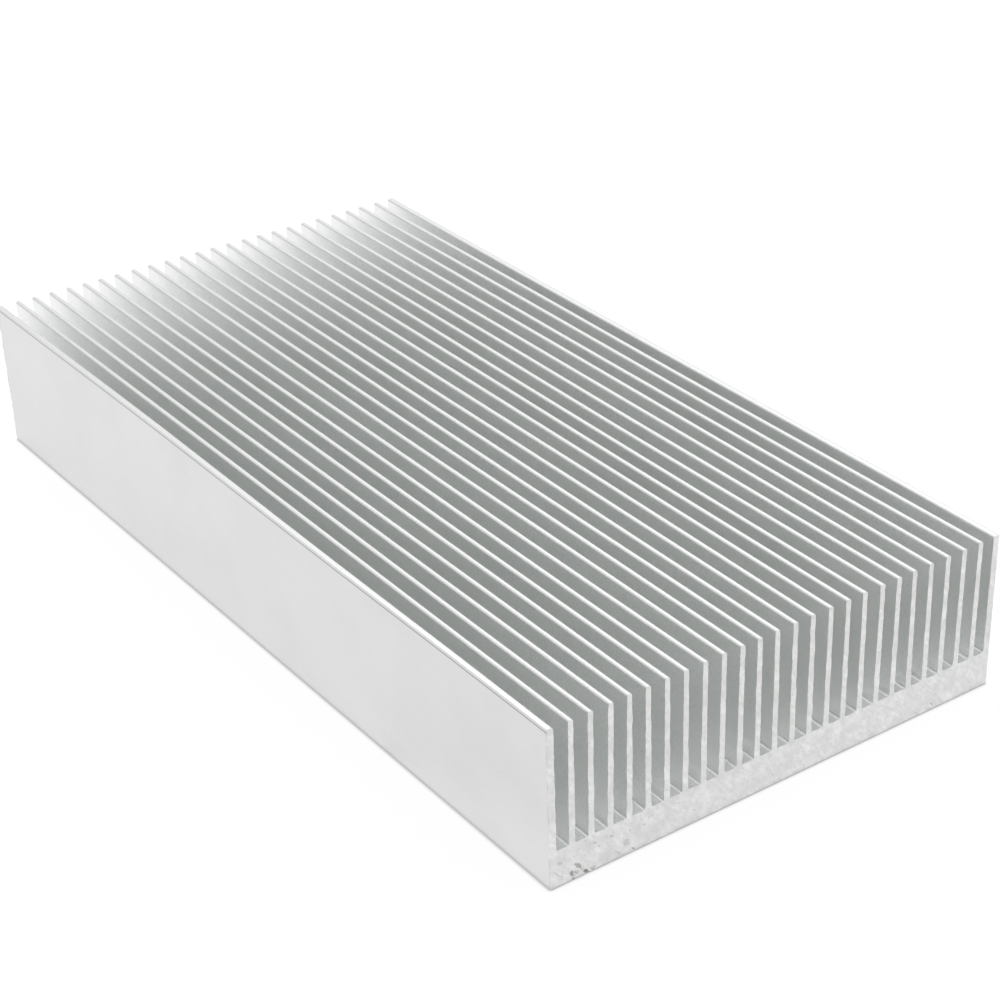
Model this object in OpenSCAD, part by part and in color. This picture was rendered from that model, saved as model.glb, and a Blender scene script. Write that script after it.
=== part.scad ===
// Extruded aluminium heat sink: a flat plate with a row of upright fins.
// The metal is pushed through a die as one profile and sawn square to length,
// so the whole part is one section with one length.
//
// X runs across the fins, Y runs along the extrusion and Z points from the
// plate to the fin tips. The origin is the middle of the flat mounting face.
// All sizes are in millimetres.

/* [Overall] */

// Width across all the fins
width = 100; // [90:1:160]
// Length that the profile is sawn to
length = 200; // [20:5:400]
// Height from the mounting face to the fin tips
height = 32; // [18:0.5:48]

/* [Plate] */

// Thickness of the plate under the gaps
plate_thickness = 7.5; // [3:0.1:12]
// Radius along the two long edges of the mounting face
plate_edge_radius = 0.3; // [0.1:0.1:2]

/* [Fins] */

// Number of fins, with the two outer ones
fin_count = 26; // [4:1:27]
// Thickness of an inner fin at its tip
fin_thickness = 1.05; // [0.9:0.05:1.3]
// Thickness of an outer fin at its tip
outer_fin_thickness = 1.35; // [1.2:0.05:1.8]
// How far a flank leans out on its way from the tip down to the plate
flank_taper = 0.08; // [0.05:0.01:0.2]

/* [Small radii] */

// Fillet between a flank and the floor of the gap
foot_radius = 0.4; // [0.1:0.05:0.55]
// Radius on the two corners of a fin's tip
tip_radius = 0.2; // [0.05:0.05:0.4]

/* [Hidden] */

// The middle planes of the fins are evenly spaced. The flat outer flanks of the
// two outer fins are flush with the sides of the plate.
fin_height = height - plate_thickness;
fin_pitch = (width - outer_fin_thickness) / (fin_count - 1);
gap_count = fin_count - 1;
first_gap_x = (fin_pitch - (width - outer_fin_thickness)) / 2;

// A leaning flank meets the floor of the gap, and the flat of the tip, at this
// angle instead of a right angle.
flank_lean = atan(flank_taper / fin_height);
leaning_corner = 90 + flank_lean;

// The gaps are cut this far past the tips, so that they are open at the top.
cut_margin = 1;

aluminium = [0.80, 0.81, 0.81];

// ---------------------------------------------------------------------------
// Round corners of the section
// ---------------------------------------------------------------------------

// The sliver between a sharp corner and the true arc that rounds it. The corner
// is at the origin, with one side along +X and the other at the given angle.
// The arc touches both sides at the same distance from the corner.
module corner_sliver(radius, angle) {
    touch = radius / tan(angle / 2);
    difference() {
        polygon([
            [0, 0],
            [touch, 0],
            [touch, radius],
            [touch * cos(angle), touch * sin(angle)]
        ]);
        translate([touch, radius])
            circle(radius);
    }
}

// ---------------------------------------------------------------------------
// Section of the profile
// ---------------------------------------------------------------------------

// The outline before the gaps are taken out: a block as wide and high as the
// part, its four long edges rounded.
module outline() {
    difference() {
        translate([-width / 2, 0])
            square([width, height]);
        for (side = [0, 1])
            mirror([side, 0]) {
                translate([-width / 2, 0])
                    corner_sliver(plate_edge_radius, 90);
                translate([-width / 2, height])
                    mirror([0, 1])
                        corner_sliver(tip_radius, 90);
            }
    }
}

// The half of a gap next to one fin. It runs from the gap's middle at x = 0 out
// to that fin's flank, and from the floor at y = 0 up past the tips. A fillet
// stays at the foot of the flank and the corner of the tip is rounded off.
module gap_half(next_fin_thickness) {
    mouth = (fin_pitch - next_fin_thickness) / 2;
    floor_edge = mouth - flank_taper;
    difference() {
        polygon([
            [0, 0],
            [floor_edge, 0],
            [mouth, fin_height],
            [mouth, fin_height + cut_margin],
            [0, fin_height + cut_margin]
        ]);
        translate([floor_edge, 0])
            mirror([1, 0])
                corner_sliver(foot_radius, leaning_corner);
    }
    translate([mouth, fin_height])
        mirror([0, 1])
            corner_sliver(tip_radius, leaning_corner);
}

// One gap, between the fin on its left and the fin on its right.
module gap(left_fin_thickness, right_fin_thickness) {
    mirror([1, 0])
        gap_half(left_fin_thickness);
    gap_half(right_fin_thickness);
}

// The whole section. What is left between two gaps is a fin, so the comb of
// fins and the plate are one piece of metal. Only the first and the last gap
// lie next to an outer fin.
module profile() {
    difference() {
        outline();
        for (i = [1 : gap_count])
            translate([first_gap_x + (i - 1) * fin_pitch, plate_thickness])
                gap(
                    i == 1 ? outer_fin_thickness : fin_thickness,
                    i == gap_count ? outer_fin_thickness : fin_thickness
                );
    }
}

// ---------------------------------------------------------------------------
// The part
// ---------------------------------------------------------------------------

// The profile, pushed out along Y and sawn square at both ends.
module heat_sink() {
    color(aluminium)
        rotate([90, 0, 0])
            linear_extrude(height = length, center = true)
                profile();
}

heat_sink();
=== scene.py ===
import math

import bpy
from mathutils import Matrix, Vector, noise
from mathutils.geometry import delaunay_2d_cdt


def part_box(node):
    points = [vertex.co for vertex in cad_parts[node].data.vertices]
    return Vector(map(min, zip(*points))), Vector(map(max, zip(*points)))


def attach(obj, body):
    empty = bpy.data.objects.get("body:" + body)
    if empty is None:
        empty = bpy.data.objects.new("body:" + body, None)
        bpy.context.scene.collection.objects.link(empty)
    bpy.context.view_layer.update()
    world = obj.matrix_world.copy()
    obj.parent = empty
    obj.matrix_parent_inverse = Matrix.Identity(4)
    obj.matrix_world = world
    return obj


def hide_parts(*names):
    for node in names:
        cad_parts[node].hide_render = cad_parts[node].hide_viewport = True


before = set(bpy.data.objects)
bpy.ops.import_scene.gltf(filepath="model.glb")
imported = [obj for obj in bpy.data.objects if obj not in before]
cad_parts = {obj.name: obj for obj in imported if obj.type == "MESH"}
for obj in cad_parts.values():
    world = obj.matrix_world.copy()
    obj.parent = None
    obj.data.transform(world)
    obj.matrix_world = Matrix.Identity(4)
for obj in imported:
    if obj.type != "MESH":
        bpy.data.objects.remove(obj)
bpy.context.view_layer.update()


# ---- Heat sink -----------------------------------------------------------------------------
# One aluminium extrusion, a flat plate with a row of thin upright fins. The hot metal is pushed
# through a die as one profile, pulled straight and sawn square to length, so the fins lean and
# wander by a few tenths of a millimetre and the saw leaves their end edges ragged.
MM = 0.001
sink_low, sink_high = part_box("heat_sink")
length = sink_high.y - sink_low.y
height = sink_high.z - sink_low.z
plate_thickness = 7.5 * MM
plate_edge_radius = 0.3 * MM
fin_count = 26
fin_thickness = 1.05 * MM
outer_fin_thickness = 1.35 * MM
flank_taper = 0.08 * MM
foot_radius = 0.4 * MM
tip_radius = 0.42 * MM
side_tip_radius = 0.2 * MM
side_line_below_tip = 0.55 * MM
side_line_depth = 0.05 * MM
lean_curve = 1.3
ragged_fade = 0.14 * MM
foot_raggedness = 0.6
sharp_edge = math.radians(50)
fin_height = height - plate_thickness
fin_pitch = (sink_high.x - sink_low.x - outer_fin_thickness) / (fin_count - 1)


def fin_sides(fin):
    """The fin's left and right flank: x at the tip and x at the root."""
    half = (outer_fin_thickness if fin in (0, fin_count - 1) else fin_thickness) / 2
    middle = sink_low.x + outer_fin_thickness / 2 + fin * fin_pitch
    left_taper = 0 if fin == 0 else flank_taper
    right_taper = 0 if fin == fin_count - 1 else flank_taper
    left = (middle - half, middle - half - left_taper)
    right = (middle + half, middle + half + right_taper)
    return left, right


def straight(start, end, steps):
    """Points from start towards end, without the end itself."""
    for step in range(steps):
        yield tuple(a + (b - a) * step / steps for a, b in zip(start, end))


def arc(centre, radius, first_angle, last_angle, steps=4):
    """Points round an arc, angles in degrees, without the last point."""
    for step in range(steps):
        angle = math.radians(first_angle + (last_angle - first_angle) * step / steps)
        yield centre[0] + radius * math.cos(angle), centre[1] + radius * math.sin(angle)


OUTSIDE, FLANK, FOOT, GAP_FLOOR, TIP, SAWN = range(6)


def side_line(x, inward):
    """The shallow line that the die draws along an outer side, just below its tip."""
    middle = sink_high.z - side_line_below_tip
    half_width = 0.08 * MM
    return [(x, middle - half_width), (x + inward * side_line_depth, middle), (x, middle + half_width)]


def profile():
    """The extruded section as one loop of (x, z, fin, skin), anticlockwise from the bottom left."""
    flank_steps = 32
    outer_steps = 42
    bottom_steps = 200
    tip_steps = 6
    clear_of_line = 0.3 * MM
    left, right = sink_low.x, sink_high.x
    edge, floor, top = plate_edge_radius, sink_low.z + plate_thickness, sink_high.z
    bottom = sink_low.z
    tip_z, side_tip_z, foot_z = top - tip_radius, top - side_tip_radius, floor + foot_radius
    loop = []

    def add(points, fin, skin):
        loop.extend((x, z, fin, skin) for x, z in points)

    last = fin_count - 1
    add(straight((left + edge, bottom), (right - edge, bottom), bottom_steps), 0, OUTSIDE)
    add(arc((right - edge, bottom + edge), edge, -90, 0), last, OUTSIDE)
    drawn = side_line(right, -1)
    add(straight((right, bottom + edge), drawn[0], outer_steps), last, OUTSIDE)
    add(drawn, last, OUTSIDE)
    for fin in range(last, -1, -1):
        (left_tip, left_root), (right_tip, _) = fin_sides(fin)
        right_radius = side_tip_radius if fin == last else tip_radius
        left_radius = side_tip_radius if fin == 0 else tip_radius
        add(arc((right_tip - right_radius, top - right_radius), right_radius, 0, 90, tip_steps), fin, TIP)
        add(straight((right_tip - right_radius, top), (left_tip + left_radius, top), 2), fin, TIP)
        add(arc((left_tip + left_radius, top - left_radius), left_radius, 90, 180, tip_steps), fin, TIP)
        if fin:
            next_tip, next_root = fin_sides(fin - 1)[1]
            gap_left, gap_right = next_root + foot_radius, left_root - foot_radius
            add(straight((left_tip, tip_z), (left_root, foot_z), flank_steps), fin, FLANK)
            add(arc((gap_right, foot_z), foot_radius, 0, -90), fin, FOOT)
            add(straight((gap_right, floor), (gap_left, floor), 3), fin - 1, GAP_FLOOR)
            add(arc((gap_left, foot_z), foot_radius, -90, -180), fin - 1, FOOT)
            add(straight((next_root, foot_z), (next_tip, tip_z), flank_steps), fin - 1, FLANK)
    drawn = side_line(left, 1)[::-1]
    add([(left, side_tip_z)] + drawn, 0, OUTSIDE)
    below_line = drawn[-1][1] - clear_of_line
    add(straight((left, below_line), (left, bottom + edge), outer_steps), 0, OUTSIDE)
    add(arc((left + edge, bottom + edge), edge, 180, 270), 0, OUTSIDE)
    return loop


def outward(loop):
    """The direction out of the metal at each point of the profile."""
    directions = []
    for i in range(len(loop)):
        before, after = loop[i - 1], loop[(i + 1) % len(loop)]
        along = Vector((after[0] - before[0], after[1] - before[1])).normalized()
        directions.append(Vector((along.y, -along.x)))
    return directions


def lean(fin, y):
    """How far the fin's tip stands to one side at y, with its neighbours and on its own."""
    shared_lean, shared_run, shared_step, shared_layer = 0.28 * MM, 150 * MM, 0.31, 4.7
    own_lean, own_run, own_step, own_layer = 0.26 * MM, 70 * MM, 5.37, 11.2
    shared = noise.noise(Vector((fin * shared_step, y / shared_run, shared_layer)))
    own = noise.noise(Vector((fin * own_step, y / own_run, own_layer)))
    return shared_lean * shared + own_lean * own


def rise_of(z):
    """How far up a fin a place is: 0 at the plate and 1 at the tip."""
    return max(0, (z - sink_low.z - plate_thickness) / fin_height)


def ragged(run, fin, end):
    """How far the sawn edge stands out of the true profile, run being the way round it."""
    coarse_depth, coarse_size, coarse_step = 0.12 * MM, 2.6 * MM, 3.7
    fine_depth, fine_size, fine_step = 0.10 * MM, 0.9 * MM, 1.9
    coarse_layer = 20 * end
    fine_layer = 20 * end + 9
    coarse = noise.noise(Vector((run / coarse_size, fin * coarse_step, coarse_layer)))
    fine = noise.noise(Vector((run / fine_size, fin * fine_step, fine_layer)))
    return coarse_depth * coarse + fine_depth * fine


# Where the near sawn end was knocked and stained: x from the left side, z from the bottom, half the
# mark's length and width (mm, lying along the saw's marks), its depth (mm), and how dark it is.
knocks = [(5.9, 2.2, 1.25, 0.24, 0.25, 0.8), (4.6, 1.35, 0.60, 0.36, 0.30, 1.0),
          (5.5, 1.25, 0.45, 0.22, 0.25, 0.8), (7.4, 0.35, 0.65, 0.30, 0.30, 1.0),
          (4.9, 0.1, 0.40, 0.25, 0.20, 1.0), (8.6, 0.5, 0.45, 0.14, 0.15, 0.7),
          (9.1, 0.8, 0.30, 0.14, 0.15, 0.7), (1.6, 2.5, 1.50, 0.13, 0.05, 0.4),
          (2.1, 4.5, 0.50, 0.35, 0, 0.35), (9.2, 5.5, 0.45, 0.20, 0.10, 0.5),
          (10.1, 4.5, 0.40, 0.20, 0.10, 0.4), (12.7, 5.2, 0.40, 0.22, 0.10, 0.5),
          (14.0, 1.2, 0.95, 0.10, 0.05, 0.5), (15.8, 2.5, 0.90, 0.50, 0, 0.35),
          (17.2, 0.65, 0.40, 0.16, 0.15, 0.8), (86.0, 1.2, 0.45, 0.16, 0.10, 0.8)]
saw_slope = math.radians(-48)
knock_wander = 1.3 * MM


def knock_depth(x, z):
    """How deep the near sawn end is knocked in at this place."""
    deepest = 0
    for knock_x, knock_z, long, wide, depth, _ in knocks:
        across, up = x - sink_low.x - knock_x * MM, z - sink_low.z - knock_z * MM
        along = across * math.cos(saw_slope) + up * math.sin(saw_slope)
        aside = up * math.cos(saw_slope) - across * math.sin(saw_slope)
        far = (along / (long * MM)) ** 2 + (aside / (wide * MM)) ** 2
        deepest = max(deepest, depth * MM * math.exp(-far))
    return deepest


def end_relief(x, z, end):
    """How far a sawn end stands behind its true plane: the saw's waves, and the knocks in front."""
    wave_depth, wave_size, wave_layer = 0.012 * MM, 6 * MM, 31 + 7 * end
    waves = noise.noise(Vector((x / wave_size, z / wave_size, wave_layer)))
    return wave_depth * (1 + waves) + (knock_depth(x, z) if end == 0 else 0)


def stations():
    """The places along the extrusion where the mesh has a ring, close together near both ends."""
    near_end = [0, 0.05, 0.15, 0.4, 1.0, 2.5]
    middle_steps = 16
    reach = near_end[-1] * MM
    step = (length - 2 * reach) / middle_steps
    middle = [sink_low.y + reach + step * s for s in range(1, middle_steps)]
    front = [sink_low.y + d * MM for d in near_end]
    back = [sink_high.y - d * MM for d in reversed(near_end)]
    return front + middle + back


def inner_points(end):
    """Points inside a sawn end, so that its face can carry relief."""
    coarse, fine = 0.35 * MM, 0.16 * MM
    clear = 0.45 * MM
    clear_of_tip = 0.3 * MM
    fin_steps = 33
    points = []

    def grid(x0, x1, z0, z1, step):
        across, up = int((x1 - x0) / step), int((z1 - z0) / step)
        for i in range(across + 1):
            for k in range(up + 1):
                yield x0 + (x1 - x0) * i / across, z0 + (z1 - z0) * (k + 0.5 * (i % 2)) / (up + 0.5)

    plate_left, plate_right = sink_low.x + clear, sink_high.x - clear
    plate_low, plate_top = sink_low.z + plate_edge_radius, sink_low.z + plate_thickness - clear
    knocked = (sink_low.x + 4 * MM, sink_low.x + 10 * MM) if end == 0 else None
    for x, z in grid(plate_left, plate_right, plate_low, plate_top, coarse):
        if not (knocked and knocked[0] < x < knocked[1]):
            points.append((x, z))
    if knocked:
        points.extend(grid(knocked[0], knocked[1], plate_low, plate_top, fine))
    y = sink_low.y if end == 0 else sink_high.y
    for fin in range(fin_count):
        (left_tip, _), (right_tip, _) = fin_sides(fin)
        for step in range(1, fin_steps):
            rise = step / fin_steps
            x = (left_tip + right_tip) / 2 + lean(fin, y) * rise ** lean_curve
            points.append((x, sink_low.z + plate_thickness + rise * (fin_height - clear_of_tip)))
    return points


def heat_sink_mesh():
    """The extrusion as one closed mesh: rings along its length and a sawn face at each end."""
    on_plate, at_tip = 0.001, 0.99
    welded, keep_border = 1e-5, 1
    loop, rings = profile(), stations()
    directions = outward(loop)
    run, runs = 0, []
    for i, (x, z, _, _) in enumerate(loop):
        run += math.dist((x, z), loop[i - 1][:2])
        runs.append(run)
    vertices = []
    for y in rings:
        depth = min(y - sink_low.y, sink_high.y - y)
        end = 0 if y < (sink_low.y + sink_high.y) / 2 else 1
        fade = math.exp(-depth / ragged_fade)
        for (x, z, fin, _), direction, run in zip(loop, directions, runs):
            rise = rise_of(z)
            edge = ragged(run, fin, end) * fade * (1 if rise > on_plate else foot_raggedness)
            across = x + direction.x * edge + lean(fin, y) * rise ** lean_curve
            up = z + min(direction.y * edge, 0 if rise > at_tip else edge)
            vertices.append((across, y, up))
    faces = []
    count = len(loop)
    for ring in range(len(rings) - 1):
        for i in range(count):
            a, b = ring * count + i, ring * count + (i + 1) % count
            faces.append((a, a + count, b + count, b))
    sawn_from = len(faces)
    for end, ring in ((0, 0), (1, len(rings) - 1)):
        border = [vertices[ring * count + i] for i in range(count)]
        inner = inner_points(end)
        flat = [Vector((x / MM, z / MM)) for x, _, z in border]
        flat += [Vector((x / MM, z / MM)) for x, z in inner]
        corners, _, triangles, sources, _, _ = delaunay_2d_cdt(
            flat, [], [list(range(count))], keep_border, welded)
        first_inner = len(vertices)
        into = 1 if end == 0 else -1
        for x, z in inner:
            vertices.append((x, rings[ring] + into * end_relief(x, z, end), z))
        names = []
        for corner, source in zip(corners, sources):
            if not source:
                names.append(len(vertices))
                vertices.append((corner.x * MM, rings[ring], corner.y * MM))
            elif source[0] < count:
                names.append(ring * count + source[0])
            else:
                names.append(first_inner + source[0] - count)
        for triangle in triangles:
            face = [names[corner] for corner in triangle]
            faces.append(face if end == 0 else face[::-1])
    mesh = bpy.data.meshes.new("heat_sink_metal")
    mesh.from_pydata(vertices, [], faces)
    mesh.validate()
    for polygon in mesh.polygons:
        polygon.use_smooth = True
        polygon.material_index = SAWN if polygon.index >= sawn_from else loop[polygon.index % count][3]
    return mesh


heat_sink = bpy.data.objects.new("heat_sink_metal", heat_sink_mesh())
bpy.context.scene.collection.objects.link(heat_sink)
heat_sink.data.set_sharp_from_angle(angle=sharp_edge)
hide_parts("heat_sink")
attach(heat_sink, "root")


# Its finish is bare aluminium as it leaves the die, with drawn lines and a fine grain. Its skins are lit
# and shaded copies of one metal: the flanks, feet and floors in the gaps are painted lighter, to lift the
# shade between the fins, and the outside and the tips darker, to hold down their light. The saw leaves
# smears and nicks.
def new_group(name, inputs, outputs):
    """A shader node group with its sockets: number or vector inputs and number outputs."""
    group = bpy.data.node_groups.new(name, "ShaderNodeTree")
    for label, kind, value in inputs:
        socket = group.interface.new_socket(label, in_out="INPUT", socket_type=kind)
        if value is not None:
            socket.default_value = value
    for label in outputs:
        group.interface.new_socket(label, in_out="OUTPUT", socket_type="NodeSocketFloat")
    return group, group.nodes.new("NodeGroupInput"), group.nodes.new("NodeGroupOutput")


def die_lines_group():
    """The fine lines that the die draws along the metal as it is pushed through."""
    group, given, result = new_group("die_lines", [
        ("Place", "NodeSocketVector", None), ("Spacing", "NodeSocketFloat", 0.2 * MM),
        ("Length", "NodeSocketFloat", 60 * MM)], ["Lines"])
    nodes, links = group.nodes, group.links
    size = nodes.new("ShaderNodeCombineXYZ")
    links.new(given.outputs["Spacing"], size.inputs["X"])
    links.new(given.outputs["Length"], size.inputs["Y"])
    links.new(given.outputs["Spacing"], size.inputs["Z"])
    stretch = nodes.new("ShaderNodeVectorMath")
    stretch.operation = "DIVIDE"
    links.new(given.outputs["Place"], stretch.inputs[0])
    links.new(size.outputs[0], stretch.inputs[1])
    lines = nodes.new("ShaderNodeTexNoise")
    lines.inputs["Scale"].default_value = 1
    lines.inputs["Detail"].default_value = 3
    links.new(stretch.outputs[0], lines.inputs["Vector"])
    links.new(lines.outputs["Fac"], result.inputs["Lines"])
    return group


def speckle_group():
    """Noise of one size: fine as the metal's grain, coarse as smudges from handling."""
    group, given, result = new_group("speckle", [
        ("Place", "NodeSocketVector", None), ("Size", "NodeSocketFloat", 0.25 * MM),
        ("From", "NodeSocketFloat", 0.3), ("To", "NodeSocketFloat", 0.7)], ["Speckle"])
    nodes, links = group.nodes, group.links
    scale = nodes.new("ShaderNodeMath")
    scale.operation = "DIVIDE"
    scale.inputs[0].default_value = 1
    links.new(given.outputs["Size"], scale.inputs[1])
    speckle = nodes.new("ShaderNodeTexNoise")
    speckle.inputs["Detail"].default_value = 3
    speckle.inputs["Roughness"].default_value = 0.6
    links.new(given.outputs["Place"], speckle.inputs["Vector"])
    links.new(scale.outputs[0], speckle.inputs["Scale"])
    limits = nodes.new("ShaderNodeMapRange")
    links.new(speckle.outputs["Fac"], limits.inputs["Value"])
    links.new(given.outputs["From"], limits.inputs["From Min"])
    links.new(given.outputs["To"], limits.inputs["From Max"])
    links.new(limits.outputs["Result"], result.inputs["Speckle"])
    return group


die_lines, speckle = die_lines_group(), speckle_group()


def placed(tree, group, place, **values):
    """A group node in this material, with its own values."""
    node = tree.nodes.new("ShaderNodeGroup")
    node.node_tree = group
    tree.links.new(place, node.inputs["Place"])
    for label, value in values.items():
        node.inputs[label].default_value = value
    return node.outputs[0]


def blended(tree, amount, first, second):
    """A colour between two, each a plain colour or a node's output."""
    node = tree.nodes.new("ShaderNodeMix")
    node.data_type = "RGBA"
    tree.links.new(amount, node.inputs["Factor"])
    for socket, colour in ((node.inputs[6], first), (node.inputs[7], second)):
        if isinstance(colour, tuple):
            socket.default_value = (*colour, 1)
        else:
            tree.links.new(colour, socket)
    return node.outputs[2]


def worked(tree, operation, first, second):
    """Two numbers put together by a Math node, each a plain number or a node's output."""
    node = tree.nodes.new("ShaderNodeMath")
    node.operation = operation
    for socket, value in zip(node.inputs, (first, second)):
        if isinstance(value, (int, float)):
            socket.default_value = value
        else:
            tree.links.new(value, socket)
    return node.outputs[0]


def ranged(tree, value, low, high):
    """A number from 0 to 1 spread over another range."""
    node = tree.nodes.new("ShaderNodeMapRange")
    tree.links.new(value, node.inputs["Value"])
    node.inputs["To Min"].default_value = low
    node.inputs["To Max"].default_value = high
    return node.outputs["Result"]


def metal(name, metallic):
    """A new material with its tree, its shader and the place on the object."""
    material = bpy.data.materials.new(name)
    material.use_nodes = True
    tree = material.node_tree
    shader = tree.nodes["Principled BSDF"]
    shader.inputs["Metallic"].default_value = metallic
    place = tree.nodes.new("ShaderNodeTexCoord").outputs["Object"]
    return material, tree, shader, place


def finished(tree, shader, colour, roughness, relief, depth):
    """Joins a finish to its shader: relief goes from 0 to 1, and depth is its height in metres."""
    tree.links.new(colour, shader.inputs["Base Color"])
    tree.links.new(roughness, shader.inputs["Roughness"])
    bump = tree.nodes.new("ShaderNodeBump")
    bump.inputs["Distance"].default_value = depth
    tree.links.new(relief, bump.inputs["Height"])
    tree.links.new(bump.outputs[0], shader.inputs["Normal"])


def knock_group():
    """A mark of one size and place, lying along the saw's marks, with an uneven edge."""
    group, given, result = new_group("knock", [
        ("Place", "NodeSocketVector", None), ("Middle", "NodeSocketVector", None),
        ("Reach", "NodeSocketVector", None), ("Dark", "NodeSocketFloat", 1.0)], ["Mask"])
    uneven_size = 0.65 * MM
    nodes, links = group.nodes, group.links
    uneven = nodes.new("ShaderNodeTexNoise")
    uneven.inputs["Scale"].default_value = 1 / uneven_size
    uneven.inputs["Detail"].default_value = 4
    links.new(given.outputs["Place"], uneven.inputs["Vector"])
    wander = nodes.new("ShaderNodeVectorMath")
    wander.operation = "MULTIPLY_ADD"
    links.new(uneven.outputs["Color"], wander.inputs[0])
    wander.inputs[1].default_value = (knock_wander, 0, knock_wander)
    links.new(given.outputs["Place"], wander.inputs[2])
    from_middle = nodes.new("ShaderNodeVectorMath")
    from_middle.operation = "SUBTRACT"
    links.new(wander.outputs[0], from_middle.inputs[0])
    links.new(given.outputs["Middle"], from_middle.inputs[1])
    along = nodes.new("ShaderNodeVectorRotate")
    along.rotation_type = "Y_AXIS"
    along.inputs["Angle"].default_value = saw_slope
    links.new(from_middle.outputs[0], along.inputs["Vector"])
    size = nodes.new("ShaderNodeVectorMath")
    size.operation = "DIVIDE"
    links.new(along.outputs[0], size.inputs[0])
    links.new(given.outputs["Reach"], size.inputs[1])
    far = nodes.new("ShaderNodeVectorMath")
    far.operation = "LENGTH"
    links.new(size.outputs[0], far.inputs[0])
    fade = nodes.new("ShaderNodeMapRange")
    fade.interpolation_type = "SMOOTHSTEP"
    fade.inputs["From Min"].default_value = 1.5
    fade.inputs["From Max"].default_value = 0.6
    links.new(far.outputs["Value"], fade.inputs["Value"])
    links.new(given.outputs["Dark"], fade.inputs["To Max"])
    links.new(fade.outputs["Result"], result.inputs["Mask"])
    return group


def strip_group():
    """A strip across which a value lies near its middle: 1 within it, and 0 outside."""
    group, given, result = new_group("strip", [
        ("Place", "NodeSocketFloat", 0.0), ("Middle", "NodeSocketFloat", 0.0),
        ("Half", "NodeSocketFloat", 0.2 * MM), ("Fade", "NodeSocketFloat", 0.1 * MM)], ["Mask"])
    aside = worked(group, "SUBTRACT", given.outputs["Place"], given.outputs["Middle"])
    beyond = worked(group, "SUBTRACT", worked(group, "ABSOLUTE", aside, 0), given.outputs["Half"])
    outside = worked(group, "DIVIDE", beyond, given.outputs["Fade"])
    outside.node.use_clamp = True
    inside = worked(group, "SUBTRACT", 1, outside)
    group.links.new(inside, result.inputs["Mask"])
    return group


knock, strip = knock_group(), strip_group()


def parts_of(tree, place):
    """The three coordinates of a place."""
    node = tree.nodes.new("ShaderNodeSeparateXYZ")
    tree.links.new(place, node.inputs[0])
    return node.outputs


def extruded_skin(name, bright, dull, smudge, roughness, grain_depth, worn_and_shaded):
    """The metal's skin as it leaves the die: drawn lines, a fine grain and smudges, worn edges, and
    painted shade along the drawn line and the bottom rounding.
    """
    edge_grey, painted_groove_grey, painted_contact_grey = (0.60, 0.605, 0.60), (0.36, 0.365, 0.36), (0.56, 0.565, 0.56)
    polish = 0.06
    material, tree, shader, place = metal(name, 0.9)
    lines = placed(tree, die_lines, place, Spacing=0.22 * MM, Length=45 * MM)
    wide_lines = placed(tree, die_lines, place, Spacing=1.6 * MM, Length=160 * MM)
    grain = placed(tree, speckle, place, Size=0.4 * MM, From=0.36, To=0.64)
    smudges = placed(tree, speckle, place, Size=26 * MM, From=0.42, To=0.74)
    drawn = worked(tree, "MULTIPLY", worked(tree, "ADD", lines, wide_lines), 0.5)
    tone = worked(tree, "ADD", worked(tree, "MULTIPLY", drawn, 0.3), worked(tree, "MULTIPLY", grain, 0.7))
    colour = blended(tree, tone, dull, bright)
    colour = blended(tree, smudges, colour, smudge)
    if worn_and_shaded:
        _, y, z = parts_of(tree, place)
        from_middle = worked(tree, "ABSOLUTE", y, 0)
        ends = placed(tree, strip, from_middle, Middle=length / 2, Half=0.12 * MM, Fade=0.2 * MM)
        patches = placed(tree, speckle, place, Size=3.2 * MM, From=0.44, To=0.58)
        colour = blended(tree, worked(tree, "MULTIPLY", ends, patches), colour, edge_grey)
        # Painted shade: a dark grey strip laid over the drawn line below the tip, to darken the groove.
        line_z = sink_high.z - side_line_below_tip
        painted_groove = placed(tree, strip, z, Middle=line_z, Half=0.07 * MM, Fade=0.09 * MM)
        colour = blended(tree, painted_groove, colour, painted_groove_grey)
        # Painted shade: a grey strip along the bottom rounding, where the plate meets the floor.
        rounding_z = sink_low.z + 0.13 * MM
        painted_contact = placed(tree, strip, z, Middle=rounding_z, Half=0.05 * MM, Fade=0.08 * MM)
        colour = blended(tree, painted_contact, colour, painted_contact_grey)
    rough = ranged(tree, drawn, roughness + polish, roughness - polish)
    relief = worked(tree, "ADD", worked(tree, "MULTIPLY", lines, 0.6),
                    worked(tree, "MULTIPLY", grain, 0.4))
    finished(tree, shader, colour, rough, relief, grain_depth)
    return material


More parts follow.
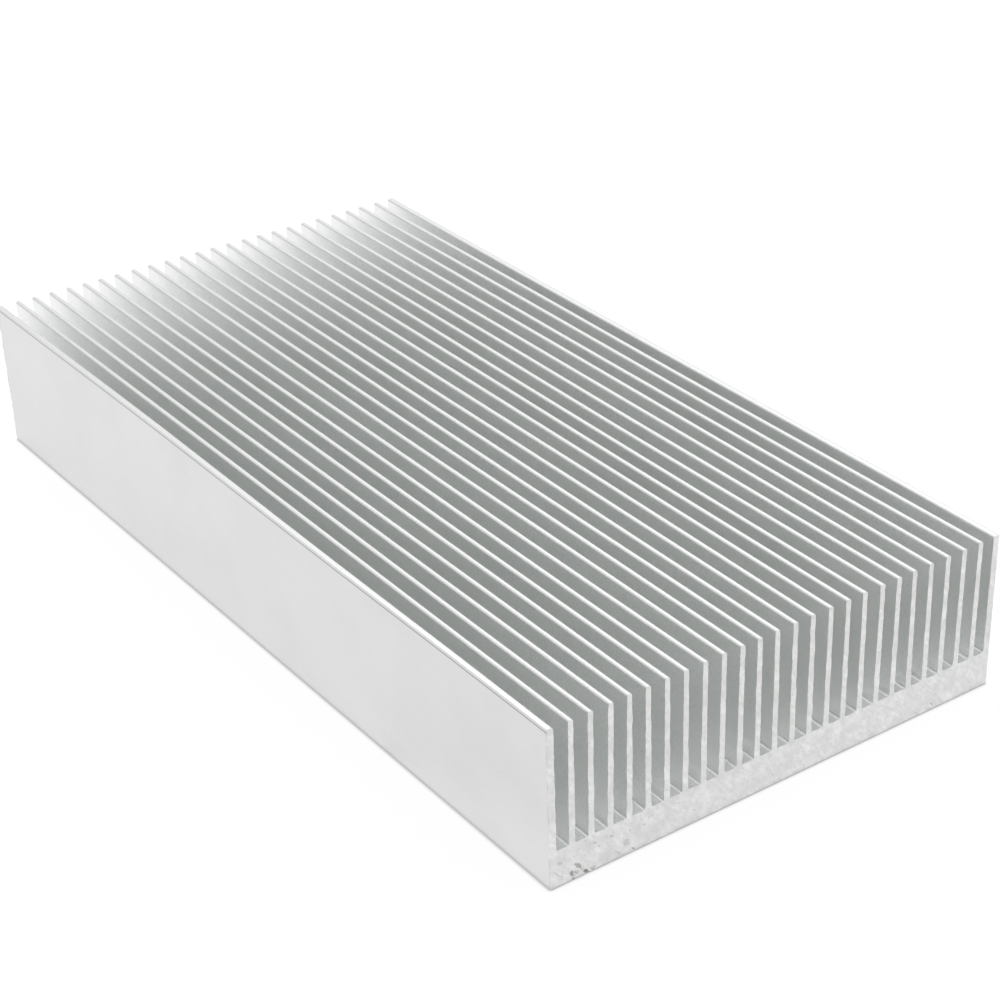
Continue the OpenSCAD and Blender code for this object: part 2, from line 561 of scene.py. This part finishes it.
def sawn_face():
    """The sawn ends: smears and fine scores of the saw, small nicks, grime in the knocks, and painted
    shade along the bottom edge.
    """
    dull, bright, smudge = (0.69, 0.697, 0.69), (0.90, 0.906, 0.90), (0.68, 0.687, 0.68)
    nick_grey, grime_grey, painted_contact_grey = (0.44, 0.445, 0.44), (0.36, 0.365, 0.345), (0.54, 0.545, 0.54)
    material, tree, shader, place = metal("sawn_aluminium", 0.85)
    nodes, links = tree.nodes, tree.links
    turned = nodes.new("ShaderNodeVectorRotate")
    turned.rotation_type = "EULER_XYZ"
    turned.inputs["Rotation"].default_value = (0, saw_slope, math.radians(90))
    links.new(place, turned.inputs["Vector"])
    along_saw = turned.outputs[0]
    smears = placed(tree, die_lines, along_saw, Spacing=0.7 * MM, Length=2.8 * MM)
    scores = placed(tree, die_lines, along_saw, Spacing=0.22 * MM, Length=7 * MM)
    grain = placed(tree, speckle, place, Size=0.9 * MM)
    nicks = placed(tree, speckle, along_saw, Size=0.55 * MM, From=0.655, To=0.74)
    smudges = placed(tree, speckle, place, Size=3.2 * MM, From=0.4, To=0.75)
    mottle = worked(tree, "ADD", worked(tree, "MULTIPLY", smears, 0.8),
                    worked(tree, "MULTIPLY", scores, 0.2))
    spread = nodes.new("ShaderNodeMapRange")
    spread.inputs["From Min"].default_value = 0.36
    spread.inputs["From Max"].default_value = 0.64
    links.new(mottle, spread.inputs["Value"])
    tone = worked(tree, "ADD", worked(tree, "MULTIPLY", spread.outputs["Result"], 0.5),
                  worked(tree, "MULTIPLY", grain, 0.5))
    colour = blended(tree, tone, dull, bright)
    colour = blended(tree, smudges, colour, smudge)
    colour = blended(tree, nicks, colour, nick_grey)
    _, y, z = parts_of(tree, place)
    drift = knock_wander / 2
    grime = 0.0
    for knock_x, knock_z, long, wide, _, dark in knocks:
        middle = (sink_low.x + knock_x * MM + drift, sink_low.y, sink_low.z + knock_z * MM + drift)
        mark = placed(tree, knock, place, Middle=middle, Reach=(long * MM, 1, wide * MM), Dark=dark)
        grime = worked(tree, "MAXIMUM", grime, mark)
    near = placed(tree, strip, y, Middle=sink_low.y, Half=1 * MM, Fade=1 * MM)
    colour = blended(tree, worked(tree, "MULTIPLY", grime, near), colour, grime_grey)
    # Painted shade: a grey strip along the bottom edge of the sawn end, where it meets the floor.
    painted_contact = placed(tree, strip, z, Middle=sink_low.z, Half=0.04 * MM, Fade=0.22 * MM)
    colour = blended(tree, painted_contact, colour, painted_contact_grey)
    rough = ranged(tree, tone, 0.45, 0.32)
    relief = worked(tree, "ADD", worked(tree, "MULTIPLY", scores, 0.5),
                    worked(tree, "MULTIPLY", grain, 0.5))
    finished(tree, shader, colour, rough, relief, 0.012 * MM)
    return material


# Each skin's name, its bright, dull and smudged colours, its roughness, the depth of its grain, and
# whether its edges are worn and shaded. They come in the order of the skins' numbers, with the sawn face
# last. The colours paint light and shade: the skins in the gaps are much lighter than the outside and
# the tips, to lift the shade between the fins.
skins = [
    ("outside_skin_painted_darker", (0.80, 0.805, 0.80), (0.755, 0.76, 0.755), (0.74, 0.745, 0.74),
     0.34, 0.004 * MM, True),
    ("flank_skin", (0.995, 1.0, 0.997), (0.83, 0.836, 0.832), (0.90, 0.906, 0.902),
     0.32, 0.0015 * MM, False),
    ("foot_skin", (0.97, 0.975, 0.972), (0.89, 0.896, 0.892), (0.92, 0.926, 0.922),
     0.18, 0.001 * MM, False),
    ("gap_floor_skin", (0.96, 0.965, 0.962), (0.76, 0.766, 0.762), (0.85, 0.856, 0.852),
     0.45, 0.005 * MM, False),
    ("tip_skin", (0.88, 0.885, 0.88), (0.72, 0.725, 0.72), (0.78, 0.785, 0.78),
     0.32, 0.005 * MM, False)]
for skin in skins:
    heat_sink.data.materials.append(extruded_skin(*skin))
heat_sink.data.materials.append(sawn_face())


# ---- Floor ---------------------------------------------------------------------------------
# A plain white table top, larger than what can be seen. It looks white by itself, and keeps a narrow
# shadow where the plate rests on it.
reach = 4.0
seen_white = 0.83
seen_base, lighting_base = (0.2, 0.2, 0.2), (0.9, 0.9, 0.9)
contact_reach = 0.7 * MM
contact_shade = 0.45
floor_mesh = bpy.data.meshes.new("floor")
corners = [(-reach, -reach, 0), (reach, -reach, 0), (reach, reach, 0), (-reach, reach, 0)]
floor_mesh.from_pydata(corners, [], [(0, 1, 2, 3)])
floor = bpy.data.objects.new("floor", floor_mesh)
floor.location.z = sink_low.z
bpy.context.scene.collection.objects.link(floor)
paper = bpy.data.materials.new("white_paper")
paper.use_nodes = True
tree = paper.node_tree
nodes, links = tree.nodes, tree.links
shader = nodes["Principled BSDF"]
shader.inputs["Roughness"].default_value = 0.9
shader.inputs["Emission Color"].default_value = (1, 1, 1, 1)
path = nodes.new("ShaderNodeLightPath")
seen = worked(tree, "MAXIMUM", path.outputs["Is Camera Ray"], path.outputs["Is Glossy Ray"])
seen = worked(tree, "MAXIMUM", seen, path.outputs["Is Transmission Ray"])
contact = nodes.new("ShaderNodeAmbientOcclusion")
contact.samples = 6
contact.inputs["Distance"].default_value = contact_reach
open_floor = nodes.new("ShaderNodeMapRange")
open_floor.inputs["From Min"].default_value = 0.4
open_floor.inputs["From Max"].default_value = 0.95
links.new(contact.outputs["AO"], open_floor.inputs["Value"])
own_white = worked(tree, "MULTIPLY", seen, seen_white)
shade = ranged(tree, open_floor.outputs["Result"], contact_shade, 1)
links.new(worked(tree, "MULTIPLY", own_white, shade), shader.inputs["Emission Strength"])
links.new(blended(tree, seen, lighting_base, seen_base), shader.inputs["Base Color"])
floor.data.materials.append(paper)


# ---- Light ---------------------------------------------------------------------------------
# A white studio dome, brighter behind and to the right and dimmer near the horizon, where its cloth
# ends, with one soft lamp above. Light passes many times between two fins before it leaves the gap.
between_fins = 40
light_paths = bpy.context.scene.cycles
light_paths.max_bounces = between_fins
light_paths.glossy_bounces = between_fins
light_paths.diffuse_bounces = 12
light_paths.blur_glossy = 0
world = bpy.data.worlds.new("studio")
bpy.context.scene.world = world
world.use_nodes = True
tree = world.node_tree
nodes, links = tree.nodes, tree.links
background = nodes["Background"]
background.inputs["Color"].default_value = (1, 1, 1, 1)
direction = nodes.new("ShaderNodeTexCoord")
split = nodes.new("ShaderNodeSeparateXYZ")
links.new(direction.outputs["Generated"], split.inputs[0])
dome = nodes.new("ShaderNodeMapRange")
dome.interpolation_type = "SMOOTHSTEP"
dome.inputs["From Min"].default_value = 0.30
dome.inputs["From Max"].default_value = 0.56
dome.inputs["To Min"].default_value = 0.64
dome.inputs["To Max"].default_value = 0.95
links.new(split.outputs["Z"], dome.inputs["Value"])
bright_side = nodes.new("ShaderNodeVectorMath")
bright_side.operation = "DOT_PRODUCT"
bright_side.inputs[1].default_value = (0.8, 0.6, 0)
links.new(direction.outputs["Generated"], bright_side.inputs[0])
side = nodes.new("ShaderNodeMapRange")
side.inputs["From Min"].default_value = -1
side.inputs["To Min"].default_value = 0.74
side.inputs["To Max"].default_value = 1.26
links.new(bright_side.outputs["Value"], side.inputs["Value"])
strength = worked(tree, "MULTIPLY", dome.outputs["Result"], side.outputs["Result"])
links.new(strength, background.inputs["Strength"])

softbox_data = bpy.data.lights.new("softbox", "AREA")
softbox_data.size = 0.9
softbox_data.energy = 1.0
softbox = bpy.data.objects.new("softbox", softbox_data)
softbox.location = (0.6, 0.5, 0.9)
softbox.rotation_euler = softbox.location.to_track_quat("Z", "Y").to_euler()
bpy.context.scene.collection.objects.link(softbox)


# ---- Camera --------------------------------------------------------------------------------
# It stands to the left of the near end, above the part, and looks down along the fins. The shift of
# its long lens fits the whole part into the view.
elevation, turn = math.radians(30.76), math.radians(-37.73)
camera_data = bpy.data.cameras.new("camera")
camera_data.sensor_width = 36
camera_data.lens = 85.9
camera_data.shift_x = -0.1335
camera_data.shift_y = 0.0606
camera = bpy.data.objects.new("camera", camera_data)
camera.location = (-0.2278, -0.3521, 0.2464)
camera.rotation_euler = (math.radians(90) - elevation, 0, turn)
bpy.context.scene.collection.objects.link(camera)
bpy.context.scene.camera = camera
bpy.context.scene.view_settings.view_transform = "Standard"
